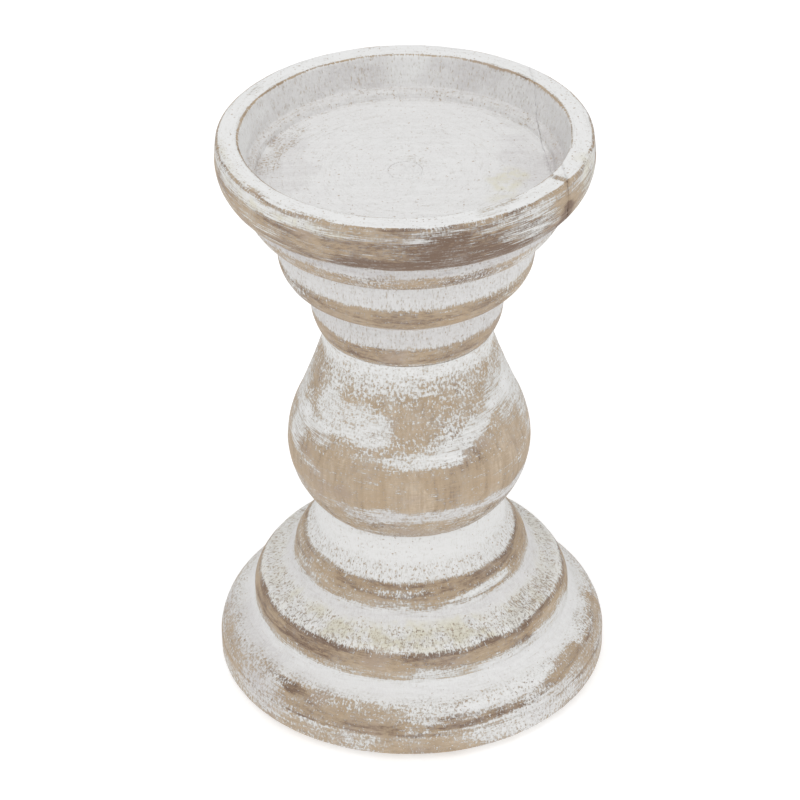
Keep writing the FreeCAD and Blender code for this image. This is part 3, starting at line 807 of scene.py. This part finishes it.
@dataclass(frozen=True)
class Whitewash:
    """White paint over turned wood, rubbed back and greyed with painted shade, with the piece's
    coat to say where.

    Each edge is the span of noise over which the paint breaks, thickens or pits.
    """

    name: str
    grain: Grain
    pale: Colour = (0.625, 0.515, 0.395)
    middle: Colour = (0.455, 0.35, 0.243)
    dark: Colour = (0.195, 0.13, 0.092)
    honey: Colour = (0.46, 0.335, 0.215)
    plum: Colour = (0.385, 0.3, 0.255)
    white: Colour = (0.775, 0.78, 0.765)
    bright: Colour = (0.83, 0.83, 0.825)
    # The lilac grey the paint turns to: painted shade in the hollows and under overhangs, and
    # random grey streaks.
    dusk_and_shade_colour: Colour = (0.6, 0.575, 0.575)
    yellowed: Colour = (0.735, 0.71, 0.6)
    pith: Pair = (0.018, 0.15)
    paint_edge: Pair = (0.3, 0.7)
    thick_edge: Pair = (0.55, 1.25)
    pit_edge: Pair = (0.645, 0.7)
    veil_share: float = 0.50
    bump_strength: float = 0.55
    bump_height: float = 0.00035
    shine: float = 0.3

    def wood(self, bench: Bench, tone: Wire) -> tuple[Wire, Wire]:
        """Bare wood: fine lines along the grain, and broad rings round a far pith.

        Args:
            bench: the material's bench.
            tone: how dark the wood is.

        Returns:
            The colour, and the lines of the grain.
        """
        fine, slow = 720.0, 18.0
        if self.grain is Grain.UPRIGHT:
            along = bench.spot_of(bench.x * fine, bench.y * fine, bench.z * slow)
        else:
            along = bench.spot_of(bench.x * fine * 0.5, bench.y * slow * 4.0, bench.z * fine * 1.6)
        lines = bench.noise(along, 4.0, 0.62)
        drift = bench.noise(bench.spot, 2.0, 0.5, 26.0)
        blush = bench.noise(bench.spot, 2.0, 0.5, 75.0)
        if self.grain is Grain.UPRIGHT:
            off_x, off_y = bench.x - self.pith[0], bench.y - self.pith[1]
            far = (off_x * off_x + off_y * off_y).root() + bench.z * 0.05
        else:
            far = (bench.x * bench.x + (bench.z - 0.35) * (bench.z - 0.35)).root()
        ring = (far * 175.0 + drift * 2.2).part()
        late = ring.rise(0.55, 0.97) * (1.0 - ring.rise(0.97, 1.0))
        depth = tone + (lines - 0.5) * 1.0 + (drift - 0.5) * 0.45 + late * 0.16
        pale = bench.mix(depth.rise(0.0, 0.5), self.pale, self.middle)
        pale = bench.mix(blush.rise(0.50, 0.68) * 0.45, pale, self.honey)
        pale = bench.mix((1.0 - blush.rise(0.34, 0.48)) * 0.40, pale, self.plum)
        return bench.mix(depth.rise(0.5, 1.05), pale, self.dark), lines

    def material(self) -> Material:
        """Build the finish.

        Strokes and hairs are noise drawn out round the axis, fibres and threads noise drawn
        out across the turning, brushed noise drawn out from side to side, and stipple nearly
        round.  Paint holds where the coat's share, plus what these add, passes a half, and a
        thin veil of it stays round that.

        Returns:
            The material.
        """
        bench = Bench(self.name)
        radius = (bench.x * bench.x + bench.y * bench.y).root().most(1e-5)
        east, north = bench.x / radius, bench.y / radius
        run = bench.stored("run")
        paint, tone, cream, grey_and_shade, comb, pits, fleck = (bench.stored(name) for name in COATS)
        sway = bench.noise(bench.spot, 2.0, 0.5, 30.0) - 0.5
        swayed = run + sway * 7.0
        strokes, hairs, fibres, threads, brushed, stipple = (
            bench.noise(bench.spot_of(*drawn), detail, roughness) - 0.5
            for drawn, detail, roughness in (
                ((east * 3.4, north * 3.4, swayed * 1.05), 5.0, 0.64),
                ((east * 8.0, north * 8.0, run * 4.2), 3.0, 0.6),
                ((east * 62.0, north * 62.0, run * 0.3), 3.0, 0.6),
                ((east * 150.0, north * 150.0, run * 0.75), 2.0, 0.6),
                ((bench.x * 60.0, bench.y * 620.0, bench.z * 620.0), 3.0, 0.6),
                ((bench.x * 1350.0, bench.y * 1350.0, bench.z * 800.0), 2.0, 0.6)))
        streaky = strokes * 1.7 + hairs * 2.7
        combed = fibres * 1.7 + threads * 2.9 + strokes * 0.4
        flecked = stipple * (0.7 + fleck * 2.6)
        broken = streaky * (1.0 - comb) * (1.0 - fleck * 0.45) + combed * comb + flecked
        covered = (paint + broken).rise(*self.paint_edge)
        thick = (paint + broken).rise(*self.thick_edge)
        specks = bench.noise(bench.spot, 2.0, 0.55, 1050.0)
        pitted = specks + (pits - 0.5) * 0.10 + threads * 0.07
        pitted = pitted.rise(*self.pit_edge)
        wood, lines = self.wood(bench, tone + stipple * 0.5 + hairs * 1.0)
        coat = bench.mix(thick, self.white, self.bright)
        # Painted shade: the stored grey turns the paint lilac grey in the coves, under the
        # overhangs and in the dish; threads and brushing add random grey streaks.
        dusk_and_shade_mask = grey_and_shade + threads * (grey_and_shade * 2.6 + 0.10) + brushed * (grey_and_shade * 0.8 + 0.30)
        coat = bench.mix(dusk_and_shade_mask.clipped(), coat, self.dusk_and_shade_colour)
        mottle = bench.noise(bench.spot, 3.0, 0.6, 180.0)
        coat = bench.mix((cream * mottle.rise(0.35, 0.65)).clipped(), coat, self.yellowed)
        veil = (paint * 0.7 + (mottle - 0.5) * 1.3 + hairs * 1.2 + stipple * 0.8)
        veil = veil.rise(-0.05, 0.95) * self.veil_share
        hold = (covered + veil - covered * veil) * (1.0 - pitted * 0.75) * (0.90 + thick * 0.10)
        relief = (covered * 0.6 + thick * 0.25 + stipple * 0.5 + fibres * comb * 0.5
                  + (lines - 0.5) * 0.25 - pitted * 0.7 + hairs * 0.25)
        bump = bench.bump(relief, self.bump_strength, self.bump_height)
        return bench.finish(Base_Color=bench.mix(hold.clipped(), wood, coat), Normal=bump,
                            Roughness=0.62 + covered * 0.16, Specular_IOR_Level=self.shine)


@dataclass(frozen=True)
class ScrewSteel:
    """Brushed zinc-plated steel, a little scratched."""

    name: str = "screw_steel_brushed"
    colour: Colour = (0.62, 0.61, 0.58)
    worn: Colour = (0.42, 0.4, 0.37)
    bump_strength: float = 0.3
    bump_height: float = 0.00005

    def material(self) -> Material:
        """Build the finish: fine rings of brushing and cloudy tarnish."""
        bench = Bench(self.name)
        rings = bench.noise(bench.spot_of(bench.x * 60.0, bench.y * 60.0, bench.z * 5200.0), 2.0)
        cloud = bench.noise(bench.spot, 3.0, 0.6, 420.0)
        bump = bench.bump(rings, self.bump_strength, self.bump_height)
        return bench.finish(Base_Color=bench.mix(cloud.rise(0.35, 0.7), self.colour, self.worn),
                            Roughness=0.28 + rings * 0.22, Metallic=1.0, Normal=bump)


@dataclass(frozen=True)
class Felt:
    """Pressed felt: matted short hairs with no weave."""

    name: str = "base_felt_pressed"
    light: Colour = (0.46, 0.43, 0.38)
    shade: Colour = (0.27, 0.25, 0.22)
    bump_strength: float = 0.8
    bump_height: float = 0.0004
    sheen: float = 0.35

    def material(self) -> Material:
        """Build the finish: tangled noise at two scales."""
        bench = Bench(self.name)
        matted = bench.noise(bench.spot, 5.0, 0.7, 900.0, 1.4)
        cloud = bench.noise(bench.spot, 2.0, 0.5, 90.0)
        share = (matted * 0.8 + cloud * 0.3).rise(0.35, 0.8)
        bump = bench.bump(matted, self.bump_strength, self.bump_height)
        return bench.finish(Base_Color=bench.mix(share, self.shade, self.light), Roughness=0.95,
                            Normal=bump, Sheen_Weight=self.sheen)


@dataclass(frozen=True)
class FloorPaper:
    """Plain pale studio paper."""

    name: str = "studio_paper"
    colour: Colour = (0.64, 0.64, 0.64)
    glow: float = 0.82

    def material(self) -> Material:
        """Build the finish."""
        return Bench(self.name).finish(Base_Color=self.colour, Roughness=0.9,
                                       Emission_Color=self.colour, Emission_Strength=self.glow)


# ---- pieces


@dataclass
class Base(Turning):
    """The stepped base: foot, middle tier and ring under a plain collar, bored for the stem."""

    socket_radius: float = 15.0
    socket_floor: float = 44.0
    passage_radius: float = 2.7
    bore_radius: float = 7.5
    bore_depth: float = 20.5

    def outline(self) -> Outline:
        """Up the outside from the underside, across the top and down the bore."""
        line = Outline(self.bore_radius, 0.0).hide((60.0, 0.0))
        line.to(64.4, 0.0).to(66.3, 2.6, 0.7).to(66.3, 7.7).to(59.6, 17.7, 1.5)
        line.to(54.0, 22.8, -1.0).to(54.0, 27.1).to(49.8, 33.9, 0.6).to(39.6, 42.3, -1.8)
        line.to(39.6, 43.6).to(35.4, 49.7, 0.5).to(31.7, 59.3, -0.8).to(31.7, 66.0)
        return line.hide(
            (self.socket_radius, 66.0), (self.socket_radius, self.socket_floor),
            (self.passage_radius, self.socket_floor), (self.passage_radius, self.bore_depth + 2.3),
            (5.0, self.bore_depth), (self.bore_radius, self.bore_depth))


@dataclass
class Stem(Turning):
    """The baluster stem, with a round tenon and a pilot hole at each end."""

    CLOSED = False

    pilot_radius: float = 2.55
    low_pilot: float = 17.0
    high_pilot: float = 42.7

    def outline(self) -> Outline:
        """From the lower pilot's end, round the lower tenon, up the outside and in again."""
        line = Outline(0.0, self.low_pilot).hide(
            (self.pilot_radius, self.low_pilot), (self.pilot_radius, -21.5), (14.9, -21.5),
            (14.9, 0.0), (30.6, 0.0)).to(32.5, 0.0)
        line.to(40.9, 19.8, 1.9).to(36.9, 36.3, 1.0).to(29.6, 55.5, -0.2).to(28.4, 60.5, -0.2)
        return line.to(28.9, 65.0, -0.1).hide(
            (12.9, 65.0), (12.9, 84.5), (self.pilot_radius, 84.5),
            (self.pilot_radius, self.high_pilot), (0.0, self.high_pilot))


@dataclass
class Cup(Turning):
    """The shallow dish on two beads and a step, turned from two glued boards.

    SAW is the saw's tolerance, and NEAR how close to the seam a point of the cut lies, in metres.
    """

    SAW, NEAR = 1e-7, 2e-6

    socket_radius: float = 13.0
    socket_depth: float = 20.0
    passage_radius: float = 2.7
    plug_radius: float = 5.5
    plug_seat: float = 50.7
    seam_away: float = 46.2
    seam_turn: float = 7.0
    seam_depth: float = 0.34
    top: float = 70.5

    def outline(self) -> Outline:
        """Up the outside, over the rim, down into the dish and down the bore."""
        top = self.top
        line = Outline(self.socket_radius, 0.0).hide((28.2, 0.0))
        line.to(29.0, 0.0).to(31.7, 7.7, 0.5).to(31.7, 15.5).to(36.6, 19.0).to(42.1, 27.6, 1.2)
        line.to(42.4, 39.3).to(48.2, 40.9).to(52.7, 48.1, 0.5).to(52.7, 50.8).to(56.6, 52.9)
        line.to(61.25, 63.2, 1.2).to(60.7, 69.7, 0.1).to(59.9, top)
        line.to(53.6, top, past=top).to(53.0, 69.9, past=top + 6.3)
        line.to(50.8, 59.7, past=top + 7.15).to(47.8, 56.7, 0.88, past=top + 17.6)
        line.to(self.plug_radius + 0.02, 56.7, past=top + 21.8)
        seat = self.plug_seat - 0.5
        return line.hide(
            (self.plug_radius, 56.68), (self.plug_radius, seat), (5.0, seat),
            (self.passage_radius, seat - 2.3), (self.passage_radius, self.socket_depth),
            (self.socket_radius, self.socket_depth))

    def boards(self) -> list[Mesh]:
        """Saw the turned cup at its glue line, and ease both edges of the seam.

        The seam is the upright plane at seam_away from the axis.  Its points sink along the
        surface's normal, less the part of it across the plane, by seam_depth.

        Returns:
            The main board's mesh and the side board's.
        """
        whole = self.mesh(cup_coat(self.zero + self.top))
        turn = math.radians(self.seam_turn)
        across = np.array([math.cos(turn), math.sin(turn), 0.0])
        cut: list[Mesh] = []
        for label, keeps_middle in (("main", True), ("side", False)):
            mesh = whole.copy()
            mesh.name = f"{self.name}_{label}"
            self.saw(mesh, across, keeps_middle)
            cut.append(mesh)
        bpy.data.meshes.remove(whole)
        return cut

    def saw(self, mesh: Mesh, across: Array, keeps_middle: bool) -> None:
        """Keep one side of the seam's plane, sink the cut edge and close it.

        Args:
            mesh: a copy of the whole cup.
            across: the plane's normal, away from the axis.
            keeps_middle: True for the main board.
        """
        plane = self.seam_away * MM
        work = bmesh.new()
        work.from_mesh(mesh)
        bmesh.ops.bisect_plane(work, geom=[*work.verts, *work.edges, *work.faces], dist=self.SAW,
                               plane_co=Vector(across * plane), plane_no=Vector(across),
                               clear_outer=keeps_middle, clear_inner=not keeps_middle)
        work.to_mesh(mesh)
        work.free()
        places, normals = vertex_array(mesh, "co"), vertex_array(mesh, "normal")
        on_seam = np.abs(places @ across - plane) < self.NEAR
        flat = normals - np.outer(normals @ across, across)
        flat /= np.maximum(np.linalg.norm(flat, axis=1, keepdims=True), 1e-6)
        places[on_seam] -= flat[on_seam] * self.seam_depth * MM
        mesh.vertices.foreach_set("co", places.astype(np.float32).ravel())
        mesh.update()
        work = bmesh.new()
        work.from_mesh(mesh)
        rim = [edge for edge in work.edges if edge.is_boundary]
        bmesh.ops.triangle_fill(work, use_beauty=True, use_dissolve=False, edges=rim,
                                normal=Vector(across if keeps_middle else -across))
        work.to_mesh(mesh)
        work.free()


@dataclass
class Plug(Turning):
    """The round plug over the dish's screw."""

    CLOSED = False

    radius: float = 5.49
    depth: float = 6.0

    def outline(self) -> Outline:
        """From the middle of its underside, up its side and in across its face."""
        line = Outline(0.0, 0.0).hide((self.radius - 0.3, 0.0), (self.radius, 0.3))
        line.to(self.radius, self.depth - 0.015).to(self.radius - 0.015, self.depth)
        return line.to(0.25, self.depth).hide((0.0, self.depth))


@dataclass
class FeltPad(Turning):
    """The felt disc that the base stands on."""

    CLOSED = False

    radius: float = 59.0
    thickness: float = 1.5

    def outline(self) -> Outline:
        """From the middle of its underside, round its cut edge and in across the top."""
        line = Outline(0.0, 0.0).hide((0.5, 0.0)).to(self.radius - 0.25, 0.0)
        line.to(self.radius, 0.3).to(self.radius, self.thickness - 0.2)
        line.to(self.radius - 0.2, self.thickness).to(0.5, self.thickness)
        return line.hide((0.0, self.thickness))


class Candlestick:
    """The whole object, in the order that it is put together."""

    def low(self, node: str) -> float:
        """The lowest point of a plain solid, in millimetres."""
        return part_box(node)[0].z / MM

    def high(self, node: str) -> float:
        """The highest point of a plain solid, in millimetres."""
        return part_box(node)[1].z / MM

    def build(self) -> None:
        """Make every piece and dress it."""
        upright = Whitewash("whitewash_upright", Grain.UPRIGHT).material()
        boards = Whitewash("whitewash_boards", Grain.BOARDS).material()
        base = Base("turned_base", zero=self.high("base_felt"))
        show("turned_base", base.mesh(BASE_COAT), boards, Slot.WOOD, "base")
        stem = Stem("turned_stem", zero=self.high("base"), seed=23, spacing=0.6)
        show("turned_stem", stem.mesh(STEM_COAT), upright, Slot.WOOD, "stem")
        cup = Cup("turned_cup", zero=self.low("cup_main_board"), seed=37, around=420, spacing=0.95)
        main_board, side_board = cup.boards()
        show("turned_cup_main_board", main_board, boards, Slot.WOOD, "cup_main_board")
        show("turned_cup_side_board", side_board, boards, Slot.WOOD, "cup_side_board")
        plug = Plug("dish_plug", zero=self.low("cup_screw_plug"), around=96, spacing=0.4,
                    corner=0.1, unevenness=0.04)
        show("dish_plug", plug.mesh(PLUG_COAT), boards, Slot.WOOD, "cup_screw_plug")
        pad = FeltPad("felt_pad", zero=self.low("base_felt"), around=240, spacing=1.6,
                      corner=0.12, unevenness=0.04)
        felt = show("felt_pad", pad.mesh(), Felt().material(), Slot.FELT, "base_felt")
        self.dress_screws()

    def dress_screws(self) -> None:
        """Give the two screws their steel."""
        steel = ScrewSteel().material()
        for name in ("cup_screw", "base_screw"):
            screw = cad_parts[name]
            for worn in screw.material_slots:
                worn.material = steel
            log.info("%s: dressed in steel", name)


# ---- studio


@dataclass
class Studio:
    """The floor, the soft lights and the camera."""

    middle: Vector
    distance: float = 1.2274
    elevation: float = 33.27
    roll: float = -0.84
    lens: float = 165.06
    shift: float = -0.0109
    sensor: float = 36.0
    sight: float = 20.0
    sky_strength: float = 0.69
    floor_reach: float = 6.0
    floor_gap: float = 0.0002

    def build(self) -> None:
        """Set everything up round the object."""
        self.floor()
        self.sky()
        self.light("key", (-0.5, -0.95, 1.75), 1.3, 7.4)
        self.light("top", (0.15, 0.15, 1.8), 1.6, 4.0)
        self.light("fill", (1.3, -0.7, 0.9), 1.2, 2.2)
        self.camera()

    def floor(self) -> None:
        """A wide sheet of paper under the object."""
        mesh = bpy.data.meshes.new("studio_floor")
        reach = self.floor_reach
        mesh.from_pydata([(-reach, -reach, 0.0), (reach, -reach, 0.0), (reach, reach, 0.0),
                          (-reach, reach, 0.0)], [], [(0, 1, 2, 3)])
        mesh.materials.append(FloorPaper().material())
        sheet = place("studio_floor", mesh)
        sheet.location.z = -self.floor_gap

    def sky(self) -> None:
        """Even pale light from all round."""
        world = bpy.data.worlds.new("studio_light")
        world.use_nodes = True
        glow = world.node_tree.nodes["Background"]
        glow.inputs["Color"].default_value = (1.0, 1.0, 1.0, 1.0)
        glow.inputs["Strength"].default_value = self.sky_strength
        bpy.context.scene.world = world

    def light(self, name: str, spot: tuple[float, float, float], size: float,
              watts: float) -> None:
        """Hang a square soft box that faces the object.

        Args:
            name: its name.
            spot: where it hangs, in metres.
            size: its width.
            watts: its power.
        """
        lamp = bpy.data.lights.new(name, "AREA")
        lamp.energy, lamp.size = watts, size
        box = place(name, lamp)
        box.location = spot
        box.rotation_euler = (self.middle - Vector(spot)).to_track_quat("-Z", "Y").to_euler()

    def camera(self) -> None:
        """A long lens from above the front, tipped a little."""
        lens = bpy.data.cameras.new("camera")
        lens.lens, lens.sensor_width, lens.shift_x = self.lens, self.sensor, self.shift
        lens.clip_end = self.sight
        eye = place("camera", lens)
        lift = math.radians(self.elevation)
        back = Vector((0.0, -math.cos(lift), math.sin(lift)))
        eye.location = self.middle + back * self.distance
        look = Euler((math.pi / 2.0 - lift, 0.0, 0.0)).to_quaternion()
        eye.rotation_mode = "QUATERNION"
        eye.rotation_quaternion = look @ Euler((0.0, 0.0, math.radians(self.roll))).to_quaternion()
        bpy.context.scene.camera = eye


def main() -> None:
    """Build the candlestick and its studio."""
    logging.basicConfig(level=logging.INFO, format="%(name)s %(message)s")
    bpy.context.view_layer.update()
    Candlestick().build()
    Studio(middle=Vector((0.0, 0.0, AIM_HEIGHT))).build()
    bpy.context.scene.view_settings.view_transform = "Standard"
    bpy.context.view_layer.update()


if __name__ == "__main__":
    main()
